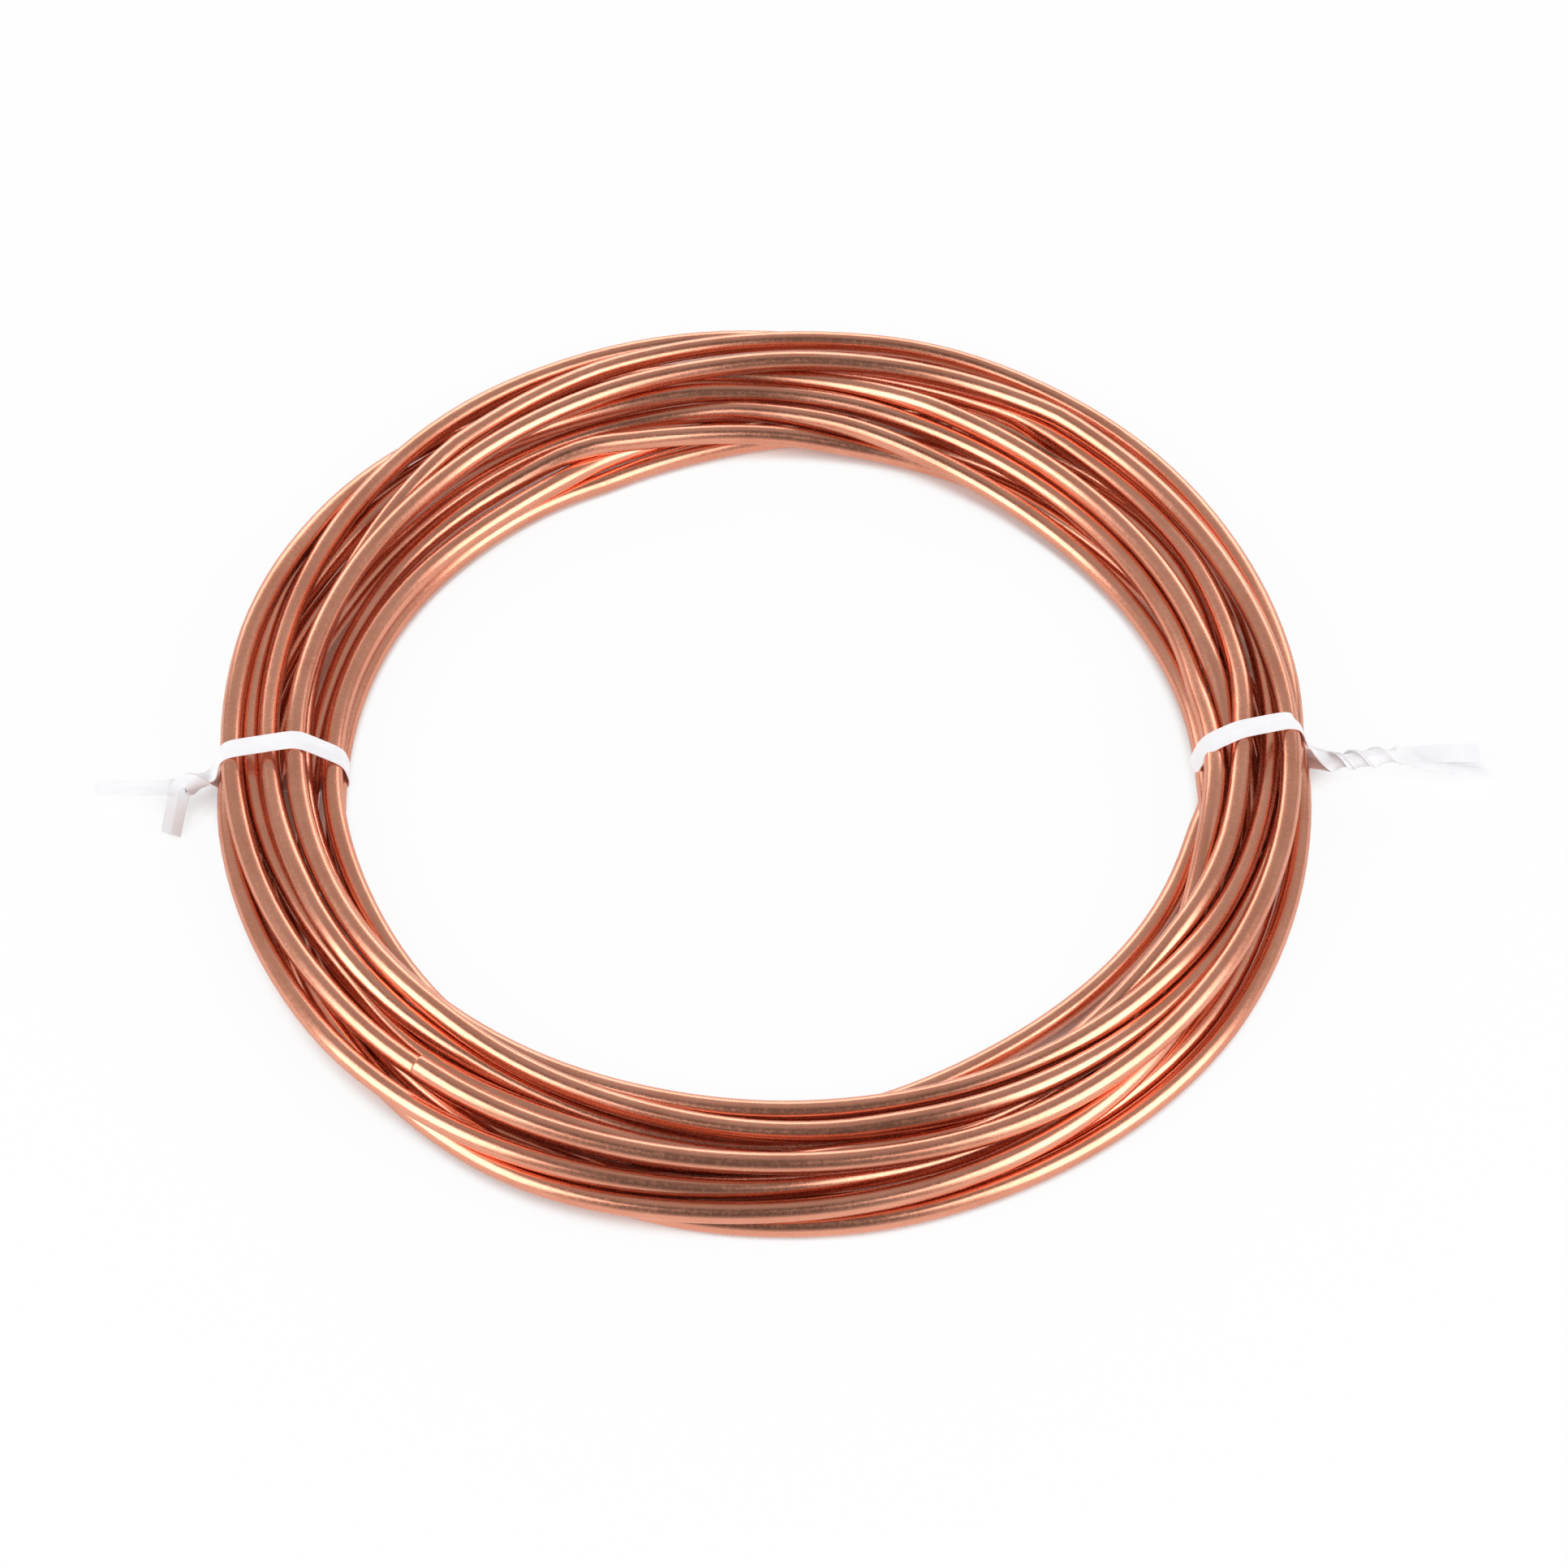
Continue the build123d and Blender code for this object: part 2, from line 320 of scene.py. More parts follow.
class Finish:
    """What the finishes share: a material with its Principled shader and short ways to wire it."""

    def __init__(self, name: str) -> None:
        """Start an empty material.

        Args:
            name: The material's name.
        """
        self.material = bpy.data.materials.new(name)
        self.material.use_nodes = True
        self.tree = self.material.node_tree
        self.shader = self.tree.nodes["Principled BSDF"]

    def node(self, kind: str, **inputs: float | tuple) -> bpy.types.Node:
        """Add a node and set its inputs by name.

        Args:
            kind: The node's type.
            inputs: Values for its inputs, with underscores for the spaces in their names.

        Returns:
            The node.
        """
        made = self.tree.nodes.new(kind)
        for name, value in inputs.items():
            made.inputs[name.replace("_", " ")].default_value = value
        return made

    def link(self, source: bpy.types.NodeSocket, target: bpy.types.NodeSocket) -> None:
        """Join two sockets."""
        self.tree.links.new(source, target)

    def mix(self, factor: bpy.types.NodeSocket, first: Rgb | bpy.types.NodeSocket,
            second: Rgb | bpy.types.NodeSocket) -> bpy.types.NodeSocket:
        """Mix two colours.

        Args:
            factor: How much of the second shows.
            first: The first colour, or a socket that gives it.
            second: The second colour, or a socket that gives it.

        Returns:
            The mixed colour's socket.
        """
        made = self.tree.nodes.new("ShaderNodeMix")
        made.data_type = "RGBA"
        self.link(factor, made.inputs[0])
        for socket, value in ((made.inputs[6], first), (made.inputs[7], second)):
            if isinstance(value, Rgb):
                socket.default_value = value.rgba()
            else:
                self.link(value, socket)
        return made.outputs[2]

    def sum_of(self, first: bpy.types.NodeSocket, gain: float,
               second: bpy.types.NodeSocket | float) -> bpy.types.NodeSocket:
        """Multiply a value and add another to it.

        Args:
            first: The socket that is multiplied.
            gain: What it is multiplied by.
            second: The value or the socket that is added.

        Returns:
            The sum's socket.
        """
        made = self.tree.nodes.new("ShaderNodeMath")
        made.operation = "MULTIPLY_ADD"
        self.link(first, made.inputs[0])
        made.inputs[1].default_value = gain
        if isinstance(second, float):
            made.inputs[2].default_value = second
        else:
            self.link(second, made.inputs[2])
        return made.outputs[0]

    def handle(self, kit: ShaderKit, stain_scale: float, scuff_scale: float) -> bpy.types.Node:
        """Add the shared group of stains and scuffs, laid out in the object's own space.

        Args:
            kit: The shared node groups.
            stain_scale: How fine the stains are.
            scuff_scale: How fine the scuffs are.

        Returns:
            The group's node.
        """
        place = self.node("ShaderNodeTexCoord")
        made = self.node("ShaderNodeGroup")
        made.node_tree = kit.handled
        self.link(place.outputs["Object"], made.inputs["Vector"])
        made.inputs["Stain Scale"].default_value = stain_scale
        made.inputs["Scuff Scale"].default_value = scuff_scale
        return made

    def raise_by(self, height: bpy.types.NodeSocket, strength: float, depth: float) -> None:
        """Bump the surface by a height.

        Args:
            height: The height's socket.
            strength: The bump's strength.
            depth: The bump's depth in metres.
        """
        bump = self.node("ShaderNodeBump", Strength=strength, Distance=depth)
        self.link(height, bump.inputs["Height"])
        self.link(bump.outputs["Normal"], self.shader.inputs["Normal"])


@dataclass(frozen=True)
class Streaks:
    """Noise stretched over the tube: its marks along the tube, round its girth, and its detail."""

    along: float
    around: float
    detail: float


@dataclass(frozen=True)
class CopperFinish:
    """Drawn copper: long die lines, short bands across them and faint warm stains."""

    fresh: Rgb = Rgb(0.87, 0.385, 0.25)
    stained: Rgb = Rgb(0.75, 0.295, 0.18)
    rosy: Rgb = Rgb(0.83, 0.39, 0.29)
    rosy_share: float = 0.35
    roughness: float = 0.2
    line_roughness: float = 0.1
    scuff_roughness: float = 0.1
    line_height: float = 0.8
    scuff_height: float = 0.08
    bump_strength: float = 0.55
    bump_depth: float = 0.00001
    stain_scale: float = 55.0
    scuff_scale: float = 1100.0
    line_marks: Streaks = Streaks(14.0, 48.0, 2.0)
    band_marks: Streaks = Streaks(55.0, 9.0, 3.0)

    def build(self, kit: ShaderKit) -> bpy.types.Material:
        """Build the material.

        Args:
            kit: The shared node groups.

        Returns:
            The material.
        """
        look = Finish("drawn_copper")
        uv = look.node("ShaderNodeUVMap")
        lines = self.streaks(look, uv, self.line_marks)
        bands = self.streaks(look, uv, self.band_marks)
        handled = look.handle(kit, self.stain_scale, self.scuff_scale)
        stain, scuff = handled.outputs["Stain"], handled.outputs["Scuff"]
        tint = look.mix(stain, self.fresh, self.stained)
        deep = look.mix(look.sum_of(bands, self.rosy_share, 0.0), tint, self.rosy)
        look.link(deep, look.shader.inputs["Base Color"])
        rough = look.sum_of(lines, self.line_roughness, self.roughness)
        rough = look.sum_of(scuff, self.scuff_roughness, rough)
        look.link(rough, look.shader.inputs["Roughness"])
        height = look.sum_of(scuff, self.scuff_height, look.sum_of(lines, self.line_height, bands))
        look.raise_by(height, self.bump_strength, self.bump_depth)
        look.shader.inputs["Metallic"].default_value = 1.0
        return look.material

    @staticmethod
    def streaks(look: Finish, uv: bpy.types.Node, marks: Streaks) -> bpy.types.NodeSocket:
        """Add noise stretched along or around the tube.

        Args:
            look: The finish to add to.
            uv: The node that gives the tube's own map.
            marks: How the noise is stretched.

        Returns:
            The noise's socket.
        """
        spread = look.node("ShaderNodeMapping", Scale=(marks.along, marks.around, 1.0))
        noise = look.node("ShaderNodeTexNoise", Scale=1.0, Detail=marks.detail, Roughness=0.55)
        look.link(uv.outputs["UV"], spread.inputs["Vector"])
        look.link(spread.outputs["Vector"], noise.inputs["Vector"])
        return noise.outputs["Fac"]


@dataclass(frozen=True)
class PlasticFinish:
    """White plastic pressed over a wire, a little cloudy and finely scuffed."""

    clean: Rgb = Rgb(0.9, 0.9, 0.92)
    greyed: Rgb = Rgb(0.8, 0.8, 0.84)
    cloudiness: float = 0.45
    roughness: float = 0.34
    scuff_roughness: float = 0.16
    bump_strength: float = 0.35
    bump_depth: float = 0.00003
    stain_scale: float = 160.0
    scuff_scale: float = 2400.0
    milkiness: float = 0.12
    milky_depth: float = 0.002
    milky_scale: float = 0.5

    def build(self, kit: ShaderKit) -> bpy.types.Material:
        """Build the material.

        Args:
            kit: The shared node groups.

        Returns:
            The material.
        """
        look = Finish("tie_white_plastic")
        handled = look.handle(kit, self.stain_scale, self.scuff_scale)
        stain, scuff = handled.outputs["Stain"], handled.outputs["Scuff"]
        tint = look.mix(look.sum_of(stain, self.cloudiness, 0.0), self.clean, self.greyed)
        look.link(tint, look.shader.inputs["Base Color"])
        rough = look.sum_of(scuff, self.scuff_roughness, self.roughness)
        look.link(rough, look.shader.inputs["Roughness"])
        look.raise_by(scuff, self.bump_strength, self.bump_depth)
        look.shader.inputs["Subsurface Weight"].default_value = self.milkiness
        look.shader.inputs["Subsurface Radius"].default_value = (self.milky_depth,) * 3
        look.shader.inputs["Subsurface Scale"].default_value = self.milky_scale
        return look.material


@dataclass
class CopperTube:
    """The one length of tube, hollow from its free end on top to its end underneath."""

    winding: Winding
    wall: float = 0.00076
    bevel_rounds: int = 11
    steps_per_sample: int = 2
    smooth_up_to: float = math.radians(50)
    rim_round: float = 0.0007
    rim_steps: int = 4
    rim_reach: tuple[float, float] = (0.00002, 0.0001)

    def build(self, copper: bpy.types.Material) -> bpy.types.Object:
        """Sweep the tube along its winding and give it its wall.

        Args:
            copper: The tube's finish.

        Returns:
            The tube.
        """
        line = self.draw_line()
        line.data.bevel_depth = self.winding.tube_od / 2
        line.data.bevel_resolution = self.bevel_rounds
        line.data.resolution_u = self.steps_per_sample
        line.data.use_fill_caps = False
        select(line)
        bpy.ops.object.convert(target="MESH")
        tube = bpy.context.object
        finish_with(tube, "SOLIDIFY", thickness=self.wall, offset=-1.0, use_rim=True)
        self.round_rims(tube)
        tube.name = tube.data.name = "drawn_copper_tube"
        tube.data.materials.clear()
        tube.data.materials.append(copper)
        select(tube)
        bpy.ops.object.shade_smooth_by_angle(angle=self.smooth_up_to)
        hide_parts("copper_tube")
        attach(tube, "root")
        return tube

    def round_rims(self, tube: bpy.types.Object) -> None:
        """Round the outer edge of both cut ends.

        Args:
            tube: The tube, changed in place.
        """
        points = self.winding.centre_line()
        ends = [(Vector(points[0]), Vector(points[0] - points[1]).normalized()),
                (Vector(points[-1]), Vector(points[-1] - points[-2]).normalized())]
        on_rim = [any(self.lies_on_rim(spot.co, end, out) for end, out in ends)
                  for spot in tube.data.vertices]
        select(tube)
        bpy.ops.object.mode_set(mode="EDIT")
        bpy.ops.mesh.select_mode(type="EDGE")
        bpy.ops.mesh.select_all(action="DESELECT")
        bpy.ops.object.mode_set(mode="OBJECT")
        for edge in tube.data.edges:
            edge.select = all(on_rim[corner] for corner in edge.vertices)
        bpy.ops.object.mode_set(mode="EDIT")
        bpy.ops.mesh.bevel(offset=self.rim_round, segments=self.rim_steps, affect="EDGES")
        bpy.ops.object.mode_set(mode="OBJECT")

    def lies_on_rim(self, spot: Vector, end: Vector, out: Vector) -> bool:
        """Tell whether a point lies on the outer rim of a cut end.

        Args:
            spot: The point.
            end: The end's centre.
            out: The way out of the tube there.

        Returns:
            True on the rim.
        """
        off_face, off_girth = self.rim_reach
        reach = self.winding.tube_od / 2
        on_face = abs((spot - end).dot(out)) < off_face
        return on_face and abs((spot - end).length - reach) < off_girth

    def draw_line(self) -> bpy.types.Object:
        """Draw the tube's centre line as one smooth spline through the settled samples.

        Returns:
            The curve.
        """
        deselect()
        bpy.ops.curve.primitive_bezier_curve_add(location=(0, 0, 0))
        line = bpy.context.object
        line.data.dimensions = "3D"
        line.data.twist_mode = "MINIMUM"
        line.data.splines.clear()
        points = self.winding.centre_line()
        ways = np.gradient(points, axis=0) / 3
        spline = line.data.splines.new("BEZIER")
        spline.bezier_points.add(len(points) - 1)
        for knot, point, way in zip(spline.bezier_points, points, ways):
            knot.handle_left_type = knot.handle_right_type = "FREE"
            knot.co = point
            knot.handle_left = point - way
            knot.handle_right = point + way
        return line


@dataclass(frozen=True)
class TailPath:
    """Where one tail of a tie goes from the end of the twist: points in metres, and its roll."""

    points: tuple[tuple[float, float, float], ...]
    roll: float = 0.0


@dataclass
class TwistTie:
    """A flat ribbon round all the strands, twisted shut outside them, with two tails.

    Lengths are metres. The band starts from a point in the coil's eye and runs along the heading.
    """

    side: Side
    winding: Winding
    start: tuple[float, float]
    heading: tuple[float, float]
    root: tuple[float, float, float]
    twist_to: tuple[float, float, float]
    half_twists: float
    tails: tuple[TailPath, TailPath]
    bow: float = 0.0
    width: float = 0.0048
    thick: float = 0.00055
    wire: float = 0.00042
    slack: float = 0.00012
    # Half the section's edge, across and out: the soft edge in shares of half the width and half
    # the thickness, then the ridge in shares of the wire and half the thickness
    soft_edge: tuple[tuple[float, float], ...] = ((1.0, 0.0), (0.97, 0.62), (0.88, 0.8))
    ridge_edge: tuple[tuple[float, float], ...] = ((1.3, 0.8), (0.5, 1.15))
    # The band: how much slacker it is along than above the strands, and how a strand's round is cut
    slacker_along: float = 1.03
    round_points: int = 36
    # The twist: how far its two ribbons stand apart, in thicknesses and in metres, and its winding
    twist_gap: float = 0.62
    bulge: float = 0.0014
    bulge_power: float = 0.4
    tighter: float = 0.3
    twist_steps: tuple[int, int] = (8, 20)
    # How long a tail takes to turn to its own roll, as a share of its run
    roll_share: float = 0.6
    # The spacing of points along the band, the tails and the whole ribbon
    band_step: float = 0.0012
    tail_step: float = 0.0015
    path_step: float = 0.0007
    smooth_rounds: int = 6
    smooth_up_to: float = math.radians(40)

    def build(self, plastic: bpy.types.Material) -> bpy.types.Object:
        """Build the ribbon as one strip from the end of one tail to the end of the other.

        Args:
            plastic: The tie's finish.

        Returns:
            The tie.
        """
        path, normals = self.route()
        tie = self.strip(path, normals)
        tie.name = tie.data.name = f"twist_tie_ribbon_{self.side.value}"
        tie.data.materials.append(plastic)
        select(tie)
        bpy.ops.object.shade_smooth_by_angle(angle=self.smooth_up_to)
        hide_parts(f"twist_tie_{self.side.value}")
        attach(tie, "root")
        return tie

    def hull_points(self) -> list[Vector]:
        """Give the band's path round the strands, as a closed ring.

        Returns:
            The ring's points.
        """
        start = Vector((*self.start, 0))
        heading = Vector((*self.heading, 0)).normalized()
        reach = self.winding.tube_od / 2 + self.slack + self.thick / 2
        cloud = []
        for along, height in self.winding.strands_across(self.side, start, heading):
            for step in range(self.round_points):
                turn = math.radians(360 / self.round_points * step)
                cloud.append((along + reach * self.slacker_along * math.cos(turn),
                              height + reach * math.sin(turn)))
        ring = convex_ring(cloud)
        far = max(along for along, _ in ring)
        aside = Vector((-heading.y, heading.x, 0))
        if aside.y < 0:
            aside.negate()
        points = []
        for along, height in ring:
            bowed = aside * self.bow * math.sin(math.pi * max(0.0, min(1.0, along / far)))
            points.append(start + heading * along + bowed + Vector((0, 0, height)))
        return points

    def route(self) -> tuple[list[Vector], list[Vector]]:
        """Work out the ribbon's whole path and the way its flat faces at each point.

        Returns:
            The points and the normals.
        """
        ring = self.hull_points()
        root = Vector(self.root)
        first = min(range(len(ring)), key=lambda spot: (ring[spot] - root).length)
        loop = ring[first:] + ring[:first]
        centre = sum(loop, Vector()) / len(loop)
        loop = resample(loop + [loop[0]], self.band_step)
        # The band leaves the root upwards, and is open where the twist takes over
        if loop[len(loop) // 8].z < loop[-len(loop) // 8].z:
            loop.reverse()
        loop = loop[2:-2]
        loop_normals = [ring_normal(loop, spot, centre) for spot in range(len(loop))]
        upper, lower = self.twisted_pair()
        over_tail = self.tail_run(upper[-1], self.tails[0])
        under_tail = self.tail_run(lower[-1], self.tails[1])
        lead = list(reversed(over_tail)) + list(reversed(upper))
        path = [spot for spot, _ in lead] + loop + [spot for spot, _ in lower + under_tail]
        flat = [way for _, way in lead] + loop_normals + [-way for _, way in lower + under_tail]
        path = resample_with(path, flat, self.path_step)
        return smooth_run(*path, rounds=self.smooth_rounds)

    def twisted_pair(self) -> tuple[list[tuple[Vector, Vector]], list[tuple[Vector, Vector]]]:
        """Give the two ribbon ends' runs through the twist.

        Returns:
            The upper and the lower run, each point with its flat's way.
        """
        root, far = Vector(self.root), Vector(self.twist_to)
        axis = (far - root).normalized()
        up = Vector((0, 0, 1))
        side = axis.cross(up).normalized()
        up = side.cross(axis)
        runs: tuple[list, list] = ([], [])
        least, per_half_twist = self.twist_steps
        steps = least + round(per_half_twist * self.half_twists)
        for step in range(steps + 1):
            share = step / steps
            turn = math.pi * self.half_twists * share * (1 + self.tighter * (1 - share))
            way = up * math.cos(turn) + side * math.sin(turn)
            spot = root.lerp(far, share)
            swell = math.sin(math.pi * share) ** self.bulge_power
            apart = self.thick * self.twist_gap + self.bulge * swell
            runs[0].append((spot + way * apart, way))
            runs[1].append((spot - way * apart, way))
        return runs

    def tail_run(self, start: tuple[Vector, Vector],
                 tail: TailPath) -> list[tuple[Vector, Vector]]:
        """Run a tail on from the twist, turning its flat to the tail's own roll.

        Args:
            start: The twist's last point and way on this side.
            tail: The tail's points and roll.

        Returns:
            Points with their flats' ways.
        """
        knots = [start[0]] + [Vector(point) for point in tail.points]
        spots = resample(knots, self.tail_step)[1:]
        heading = (spots[-1] - start[0]).normalized()
        final = Matrix.Rotation(tail.roll, 3, heading) @ Vector((0, 0, 1))
        if final.dot(start[1]) < 0:
            final = -final
        run = []
        for index, spot in enumerate(spots):
            share = min(1.0, (index + 1) / (self.roll_share * len(spots)))
            run.append((spot, start[1].lerp(final, share).normalized()))
        return run

    def strip(self, path: list[Vector], normals: list[Vector]) -> bpy.types.Object:
        """Make the ribbon's body: a flat section with soft edges and the wire's low ridge.

        Args:
            path: Points along the ribbon.
            normals: The flat's way at each point.

        Returns:
            The ribbon.
        """
        section = self.section()
        vertices, faces = [], []
        count = len(section)
        for index, spot in enumerate(path):
            ahead = (path[min(index + 1, len(path) - 1)] - path[max(index - 1, 0)]).normalized()
            across = ahead.cross(normals[index]).normalized()
            out = across.cross(ahead)
            vertices += [spot + across * u + out * v for u, v in section]
        for ring in range(len(path) - 1):
            for side in range(count):
                turn = (side + 1) % count
                faces.append((ring * count + side, ring * count + turn,
                              (ring + 1) * count + turn, (ring + 1) * count + side))
        last = (len(path) - 1) * count
        faces.append(tuple(reversed(range(count))))
        faces.append(tuple(last + side for side in range(count)))
        body = bpy.data.meshes.new("ribbon")
        body.from_pydata([tuple(spot) for spot in vertices], [], faces)
        made = bpy.data.objects.new("ribbon", body)
        bpy.context.collection.objects.link(made)
        select(made)
        bpy.ops.object.mode_set(mode="EDIT")
        bpy.ops.mesh.select_all(action="SELECT")
        bpy.ops.mesh.normals_make_consistent(inside=False)
        bpy.ops.object.mode_set(mode="OBJECT")
        return made

    def section(self) -> list[tuple[float, float]]:
        """Give the ribbon's section: a flat with soft edges and a low ridge over the wire.

        Returns:
            Its corners, across and out, all the way round.
        """
        half, thin = self.width / 2, self.thick / 2
        edge = [(half * across, thin * out) for across, out in self.soft_edge]
        edge += [(self.wire * across, thin * out) for across, out in self.ridge_edge]
        upper = [(-across, out) for across, out in edge] + edge[::-1]
        return upper + [(across, -out) for across, out in reversed(upper[1:-1])]


def deselect() -> None:
    """Deselect every object."""
    bpy.ops.object.select_all(action="DESELECT")


def select(thing: bpy.types.Object) -> None:
    """Make one object the only selected and active one.

    Args:
        thing: The object.
    """
    deselect()
    thing.select_set(True)
    bpy.context.view_layer.objects.active = thing


def finish_with(thing: bpy.types.Object, kind: str, **settings: float | bool) -> None:
    """Add a modifier, set it and apply it.

    Args:
        thing: The object to change.
        kind: The modifier's type.
        settings: The modifier's settings by name.
    """
    select(thing)
    bpy.ops.object.modifier_add(type=kind)
    made = thing.modifiers[-1]
    for name, value in settings.items():
        setattr(made, name, value)
    bpy.ops.object.modifier_apply(modifier=made.name)


def convex_ring(cloud: list[tuple[float, float]]) -> list[tuple[float, float]]:
    """Give the outline of a tight band round flat points.

    Args:
        cloud: The points.

    Returns:
        The outline's corners, anticlockwise.
    """
    spots = sorted(set(cloud))

    def half(run: list[tuple[float, float]]) -> list[tuple[float, float]]:
        """Walk one half of the outline.

        Args:
            run: The points in the order of the walk.

        Returns:
            The corners, without the last.
        """
        chain: list[tuple[float, float]] = []
        for spot in run:
            while len(chain) > 1 and turn_of(chain[-2], chain[-1], spot) <= 0:
                chain.pop()
            chain.append(spot)
        return chain[:-1]

    return half(spots) + half(spots[::-1])


def turn_of(first: tuple[float, float], middle: tuple[float, float],
            last: tuple[float, float]) -> float:
    """Tell which way three flat points turn: over zero for left."""
    return ((middle[0] - first[0]) * (last[1] - first[1])
            - (middle[1] - first[1]) * (last[0] - first[0]))


def resample(run: list[Vector], step: float) -> list[Vector]:
    """Space points evenly along a run."""
    return resample_with(run, run, step)[0]


def resample_with(run: list[Vector], ways: list[Vector],
                  step: float) -> tuple[list[Vector], list[Vector]]:
    """Space points evenly along a run, with a direction carried along.

    Args:
        run: The points.
        ways: The direction at each point.
        step: The distance that is wanted between points.

    Returns:
        The new points and their directions.
    """
    spots, carried = np.array([tuple(v) for v in run]), np.array([tuple(v) for v in ways])
    far = np.concatenate([[0], np.cumsum(np.linalg.norm(np.diff(spots, axis=0), axis=1))])
    at = np.linspace(0, far[-1], max(3, round(far[-1] / step)))
    pick = [[np.interp(at, far, grid[:, axis]) for axis in range(3)] for grid in (spots, carried)]
    return [Vector(v) for v in zip(*pick[0])], [Vector(v) for v in zip(*pick[1])]


def smooth_run(run: list[Vector], ways: list[Vector],
               rounds: int) -> tuple[list[Vector], list[Vector]]:
    """Even out corners of a run and its directions, with both ends kept.

    Args:
        run: The points.
        ways: The direction at each point.
        rounds: How often the points are evened out.

    Returns:
        The new points and their directions.
    """
    for _ in range(rounds):
        inner = range(1, len(run) - 1)
        run = [run[0]] + [run[i] * 0.5 + (run[i - 1] + run[i + 1]) * 0.25
                          for i in inner] + [run[-1]]
        ways = [ways[0]] + [(ways[i - 1] + ways[i] * 2 + ways[i + 1]).normalized()
                            for i in inner] + [ways[-1]]
    return run, ways


def ring_normal(loop: list[Vector], spot: int, centre: Vector) -> Vector:
    """Give the outward way of an upright loop at one of its points.

    Args:
        loop: The loop's points.
        spot: The index of the point.
        centre: The middle of the loop.

    Returns:
        The way out.
    """
    ahead = loop[min(spot + 1, len(loop) - 1)] - loop[max(spot - 1, 0)]
    over = loop[len(loop) // 2] - loop[0]
    level = Vector((over.x, over.y, 0)).normalized()
    flat = Vector((-level.y, level.x, 0))
    out = ahead.cross(flat).normalized()
    return out if out.dot(loop[spot] - centre) > 0 else -out


@dataclass(frozen=True)
class SoftBox:
    """A soft lamp aimed at the coil: its place and size in metres, and its power in watts."""

    place: tuple[float, float, float]
    size: tuple[float, float]
    power: float


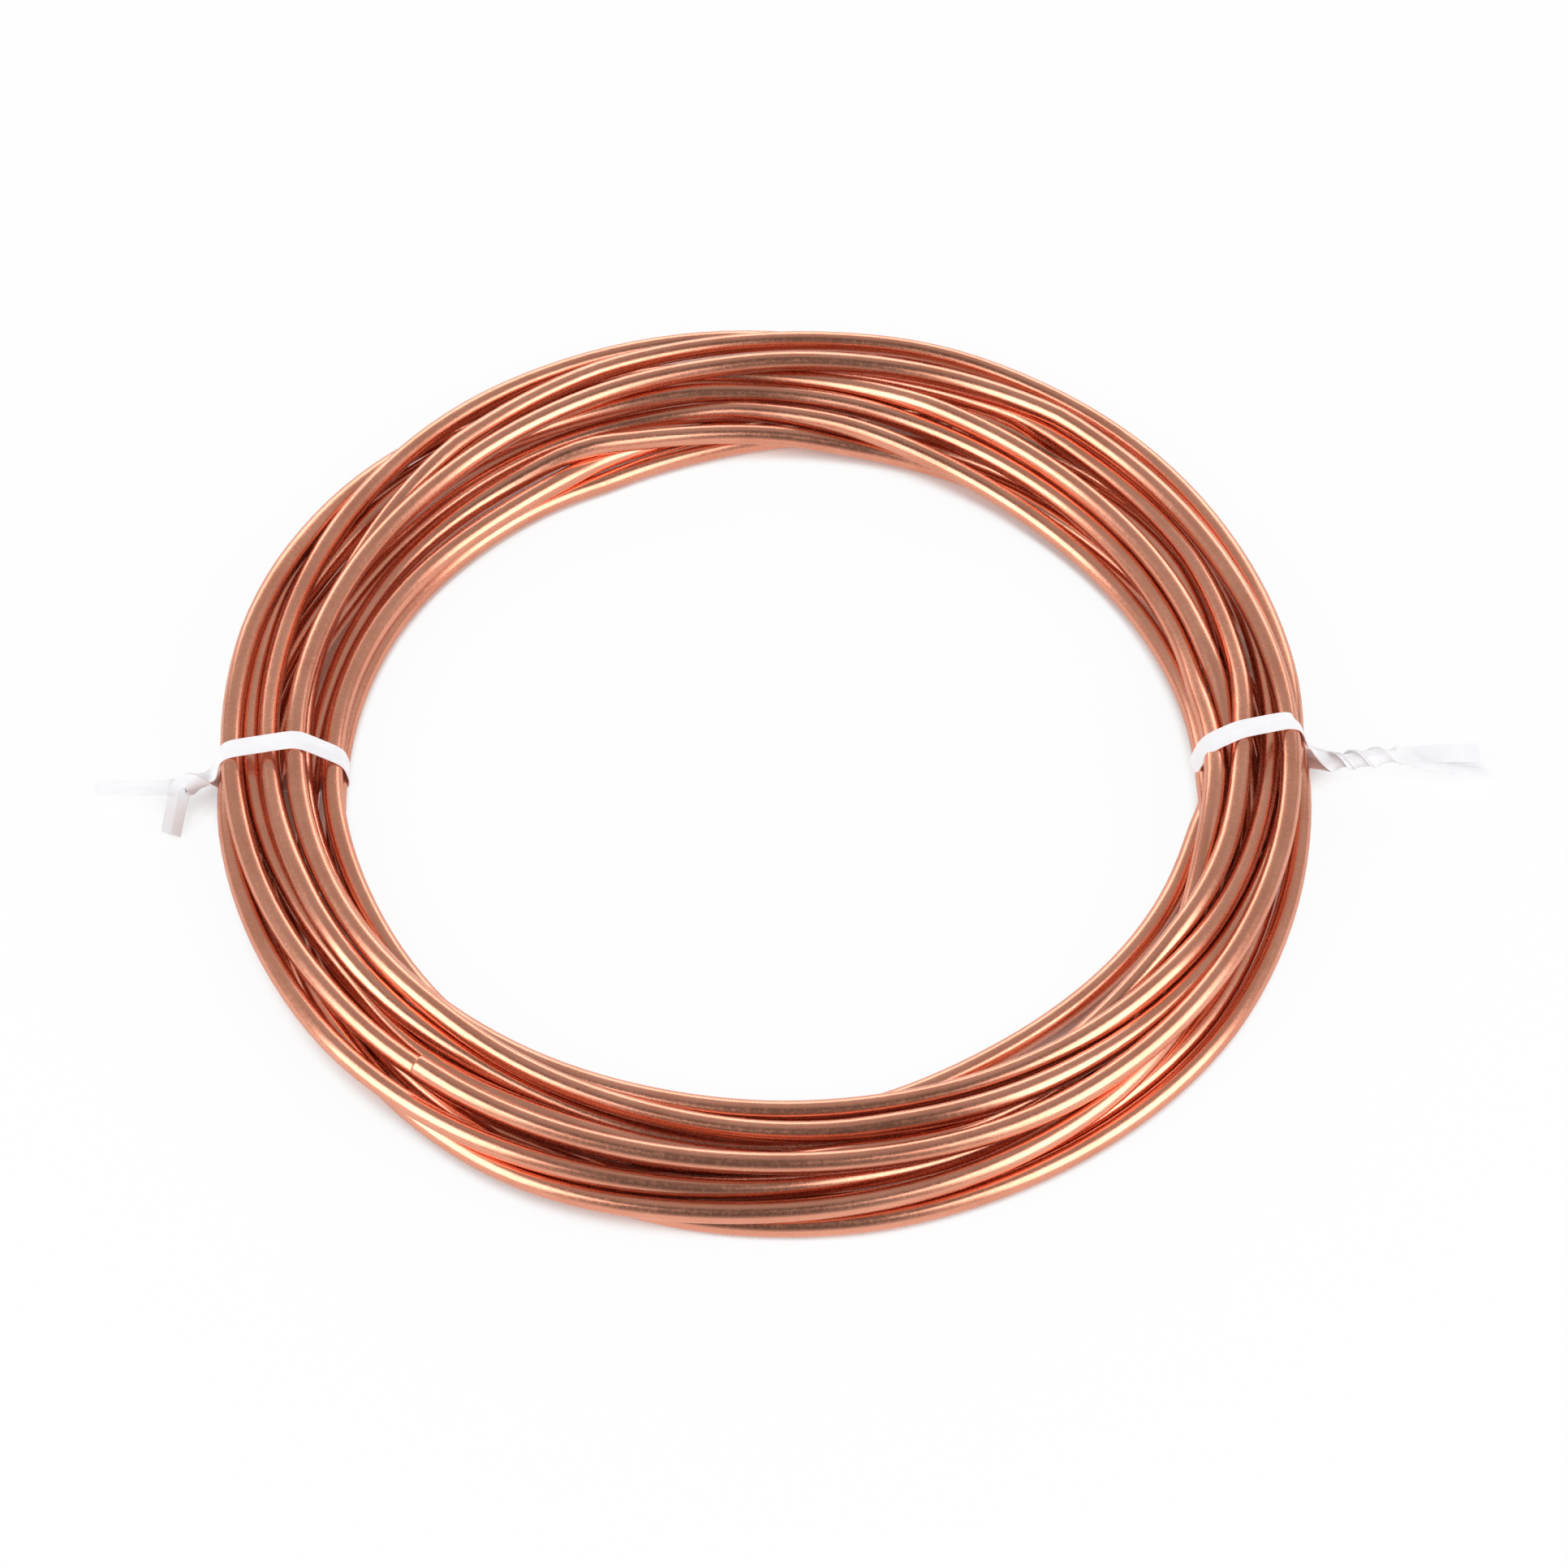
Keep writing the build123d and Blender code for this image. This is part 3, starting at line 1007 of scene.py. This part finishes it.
@dataclass
class Studio:
    """A white table in a bright room, with the camera in front and above."""

    floor_size: float = 6.0
    floor_drop: float = 0.0001
    floor_shade: Rgb = Rgb(0.86, 0.86, 0.86)
    floor_roughness: float = 0.8
    # How much paler the floor is to the camera and in mirrors, and where it darkens between strands
    seen_glow: float = 0.93
    mirrored_glow: float = 0.3
    shade_reach: float = 0.03
    shade_from: float = 0.34
    shade_to: float = 0.47
    lamps: tuple[SoftBox, ...] = (SoftBox((-0.785, -0.47, 0.60), (0.83, 1.0), 8.2),
                                  SoftBox((0.785, -0.47, 0.60), (0.83, 1.0), 8.2),
                                  SoftBox((0.0, 1.1, 0.38), (2.4, 0.5), 8.2))
    # The room is dim in one direction and even elsewhere, and pale where the camera sees it
    dim_towards: tuple[float, float, float] = (0.0, -0.57, 0.82)
    dim_span: tuple[float, float] = (0.62, 0.92)
    room_light: float = 0.46
    dim_light: float = 0.1
    seen_sky: float = 1.0
    camera_at: tuple[float, float, float] = (0.00321, -0.53293, 0.71278)
    look_at: tuple[float, float, float] = (0.00321, -0.00161, 0.0)
    lens: float = 90.93
    sensor: float = 36.0
    clip_end: float = 20.0
    roll: float = math.radians(0.15)

    def build(self) -> None:
        """Set up the floor, the lamps, the world and the camera."""
        self.lay_floor()
        self.hang_lamps()
        self.set_world()
        self.set_camera()
        bpy.context.scene.view_settings.view_transform = "Standard"

    def lay_floor(self) -> None:
        """Lay the white table top."""
        deselect()
        bpy.ops.mesh.primitive_plane_add(size=self.floor_size, location=(0, 0, -self.floor_drop))
        table = bpy.context.object
        table.name = "table_top"
        look = Finish("white_table")
        look.shader.inputs["Base Color"].default_value = self.floor_shade.rgba()
        look.shader.inputs["Roughness"].default_value = self.floor_roughness
        glow = look.node("ShaderNodeEmission", Color=(1.0, 1.0, 1.0, 1.0), Strength=1.0)
        choice = look.node("ShaderNodeMixShader")
        rays = look.node("ShaderNodeLightPath")
        open_air = look.node("ShaderNodeAmbientOcclusion", Distance=self.shade_reach)
        span = look.node("ShaderNodeMapRange", From_Min=self.shade_from, From_Max=self.shade_to)
        look.link(open_air.outputs["AO"], span.inputs["Value"])
        seen = look.node("ShaderNodeMath")
        seen.operation = "MULTIPLY"
        look.link(rays.outputs["Is Camera Ray"], seen.inputs[0])
        look.link(span.outputs["Result"], seen.inputs[1])
        mirrored = look.sum_of(rays.outputs["Is Glossy Ray"], self.mirrored_glow, 0.0)
        look.link(look.sum_of(seen.outputs[0], self.seen_glow, mirrored), choice.inputs[0])
        look.link(look.shader.outputs[0], choice.inputs[1])
        look.link(glow.outputs[0], choice.inputs[2])
        look.link(choice.outputs[0], look.tree.nodes["Material Output"].inputs["Surface"])
        table.data.materials.append(look.material)

    def hang_lamps(self) -> None:
        """Hang a big soft box at each side and a low wide one behind."""
        for lamp in self.lamps:
            deselect()
            bpy.ops.object.light_add(type="AREA", location=lamp.place)
            made = bpy.context.object
            made.data.shape = "RECTANGLE"
            made.data.size, made.data.size_y = lamp.size
            made.data.energy = lamp.power
            aim = -Vector(lamp.place)
            made.rotation_euler = aim.to_track_quat("-Z", "Y").to_euler()

    def set_world(self) -> None:
        """Fill the room with even white light that is dim towards the camera's place."""
        world = bpy.data.worlds.new("studio_room")
        bpy.context.scene.world = world
        world.use_nodes = True
        tree = world.node_tree
        place = tree.nodes.new("ShaderNodeTexCoord")
        along = tree.nodes.new("ShaderNodeVectorMath")
        along.operation = "DOT_PRODUCT"
        along.inputs[1].default_value = self.dim_towards
        tree.links.new(place.outputs["Generated"], along.inputs[0])
        level = tree.nodes.new("ShaderNodeMapRange")
        level.interpolation_type = "SMOOTHSTEP"
        for name, value in zip(("From Min", "From Max", "To Min", "To Max"),
                               (*self.dim_span, self.room_light, self.dim_light)):
            level.inputs[name].default_value = value
        tree.links.new(along.outputs["Value"], level.inputs["Value"])
        rays = tree.nodes.new("ShaderNodeLightPath")
        pale = tree.nodes.new("ShaderNodeMix")
        pale.inputs["B"].default_value = self.seen_sky
        tree.links.new(rays.outputs["Is Camera Ray"], pale.inputs["Factor"])
        tree.links.new(level.outputs["Result"], pale.inputs["A"])
        tree.links.new(pale.outputs["Result"], tree.nodes["Background"].inputs["Strength"])
        tree.nodes["Background"].inputs["Color"].default_value = (1.0, 1.0, 1.0, 1.0)

    def set_camera(self) -> None:
        """Set the camera where the photograph was taken from."""
        deselect()
        bpy.ops.object.camera_add(location=self.camera_at)
        camera = bpy.context.object
        aim = Vector(self.look_at) - Vector(self.camera_at)
        turn = aim.to_track_quat("-Z", "Y").to_matrix()
        camera.rotation_euler = (turn @ Matrix.Rotation(self.roll, 3, "Z")).to_euler()
        camera.data.lens = self.lens
        camera.data.sensor_width = self.sensor
        camera.data.clip_end = self.clip_end
        bpy.context.scene.camera = camera


def left_tie(winding: Winding) -> TwistTie:
    """Lay out the left tie, twisted one half turn, with a straight tail and one bent forwards.

    Args:
        winding: How the tube lies.

    Returns:
        The tie, laid out but not built.
    """
    return TwistTie(
        Side.LEFT, winding, start=(-0.095, -0.0026), heading=(-1.0, -0.05), bow=0.0014,
        root=(-0.1247, -0.0044, 0.0054), twist_to=(-0.1310, -0.0068, 0.0056), half_twists=1.0,
        tails=(TailPath(((-0.138, -0.0076, 0.0060), (-0.1500, -0.0080, 0.0064)), 0.25),
               TailPath(((-0.1318, -0.0115, 0.0046), (-0.1325, -0.0185, 0.0034)), -0.5)))


def right_tie(winding: Winding) -> TwistTie:
    """Lay out the right tie, twisted three half turns, with both tails to the right.

    Args:
        winding: How the tube lies.

    Returns:
        The tie, laid out but not built.
    """
    return TwistTie(
        Side.RIGHT, winding, start=(0.0950, -0.0032), heading=(1.0, 0.30), bow=0.0022,
        root=(0.1256, 0.0006, 0.0058), twist_to=(0.1404, 0.0024, 0.0060), half_twists=3.0,
        tails=(TailPath(((0.150, 0.0028, 0.0062), (0.1588, 0.0029, 0.0064)), 0.1),
               TailPath(((0.152, -0.0002, 0.0054), (0.1612, -0.0012, 0.0052)), -0.15)))


def main() -> None:
    """Build the coil, its ties and the studio."""
    logging.basicConfig(level=logging.INFO, format="%(message)s")
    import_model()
    kit = ShaderKit()
    copper = CopperFinish().build(kit)
    plastic = PlasticFinish().build(kit)
    winding = Winding()
    tube = CopperTube(winding).build(copper)
    log.info("%s: %d faces", tube.name, len(tube.data.polygons))
    for layout in (left_tie, right_tie):
        tie = layout(winding).build(plastic)
        log.info("%s: %d faces", tie.name, len(tie.data.polygons))
    Studio().build()


if __name__ == "__main__":
    main()
